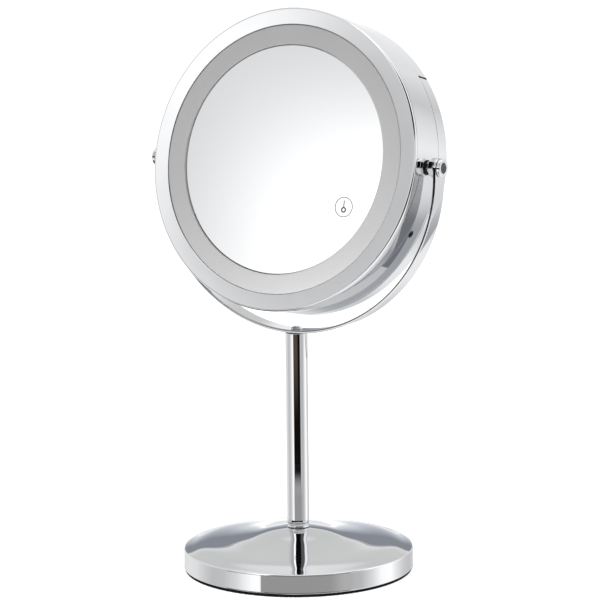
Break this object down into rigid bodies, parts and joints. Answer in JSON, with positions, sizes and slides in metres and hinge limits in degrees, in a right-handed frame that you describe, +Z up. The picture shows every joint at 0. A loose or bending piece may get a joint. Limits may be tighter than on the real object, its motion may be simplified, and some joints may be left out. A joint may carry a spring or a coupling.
{
  "type": "lighted vanity mirror",
  "caption": "Round two-sided vanity mirror with a frosted light ring and touch key, tilting in a chrome yoke on a pole and weighted round base.",
  "frame": {"origin": "centre of the base's underside, on the axis of the pole and the round base, at the height of the surface that the pad stands on", "axes": "+Z up along the pole; -Y is the side that the lit front mirror faces; +X is the tilt axis, to the right as seen by somebody looking into the front mirror"},
  "size_m": [0.2332, 0.163, 0.3949],
  "materials": {
    "base_foam": "black matt foam rubber pad",
    "plain_steel": "plain zinc-plated steel",
    "weight_iron": "raw cast iron, hidden",
    "stand_chrome": "polished chrome plate on steel",
    "head_chrome": "polished chrome plate on moulded plastic",
    "frosted_acrylic": "satin frosted light diffuser",
    "mirror_glass": "silvered glass",
    "mirror_foam": "thin black foam sheet",
    "black_plastic": "black moulded plastic",
    "white_plastic": "white moulded plastic",
    "circuit_board": "white lacquered circuit board",
    "led_yellow": "yellow phosphor lamp chip",
    "cell_wrap": "plain sleeve of a dry cell",
    "brass_nut": "turned brass",
    "red_wire": "red wire insulation",
    "black_wire": "black wire insulation"
  },
  "bodies": {
    "stand": {"base_pad": "base_foam", "base_plate": "plain_steel", "base_weight": "weight_iron", "base_cover": "stand_chrome", "base_bolt": "plain_steel", "base_bolt_washer": "plain_steel", "pole_foot_ring": "stand_chrome", "pole_tube": "stand_chrome", "pole_bottom_insert": "plain_steel", "pole_top_insert": "plain_steel", "yoke": "stand_chrome", "yoke_screw": "stand_chrome", "pivot_collar_left": "stand_chrome", "pivot_collar_right": "stand_chrome"},
    "mirror_head": {"front_bezel": "head_chrome", "drum_shell": "head_chrome", "diffuser_ring": "frosted_acrylic", "front_mirror": "mirror_glass", "mirror_backing_pad": "mirror_foam", "touch_sensor": "circuit_board", "inner_frame": "white_plastic", "frame_screw_1": "plain_steel", "frame_screw_2": "plain_steel", "frame_screw_3": "plain_steel", "led_board": "circuit_board", "led_1": "led_yellow", "led_2": "led_yellow", "led_3": "led_yellow", "led_4": "led_yellow", "led_5": "led_yellow", "led_6": "led_yellow", "led_7": "led_yellow", "led_8": "led_yellow", "control_board": "circuit_board", "power_socket": "black_plastic", "battery_holder": "black_plastic", "battery_cell_1": "cell_wrap", "battery_cell_2": "cell_wrap", "battery_cell_3": "cell_wrap", "battery_cell_4": "cell_wrap", "battery_contact_left": "plain_steel", "battery_contact_right": "plain_steel", "led_wire": "red_wire", "touch_wire": "black_wire", "socket_wire": "black_wire", "battery_wire": "red_wire", "friction_washer_left": "black_plastic", "pivot_nut_left": "brass_nut", "pivot_screw_left": "stand_chrome", "pivot_cap_insert_left": "black_plastic", "friction_washer_right": "black_plastic", "pivot_nut_right": "brass_nut", "pivot_screw_right": "stand_chrome", "pivot_cap_insert_right": "black_plastic"},
    "rear_cover": {"rear_ring": "head_chrome", "rear_mirror": "mirror_glass", "rear_mirror_backing": "mirror_foam"}
  },
  "joints": [
    {"name": "head_tilt", "type": "hinge", "parent": "stand", "child": "mirror_head", "pos_m": [0, 0, 0.2884], "axis": [1, 0, 0], "continuous": true},
    {"name": "rear_cover_twist", "type": "hinge", "parent": "mirror_head", "child": "rear_cover", "pos_m": [0, 0, 0.2884], "axis": [0, 0.981, -0.1942], "range_deg": [0, 12]}
  ]
}
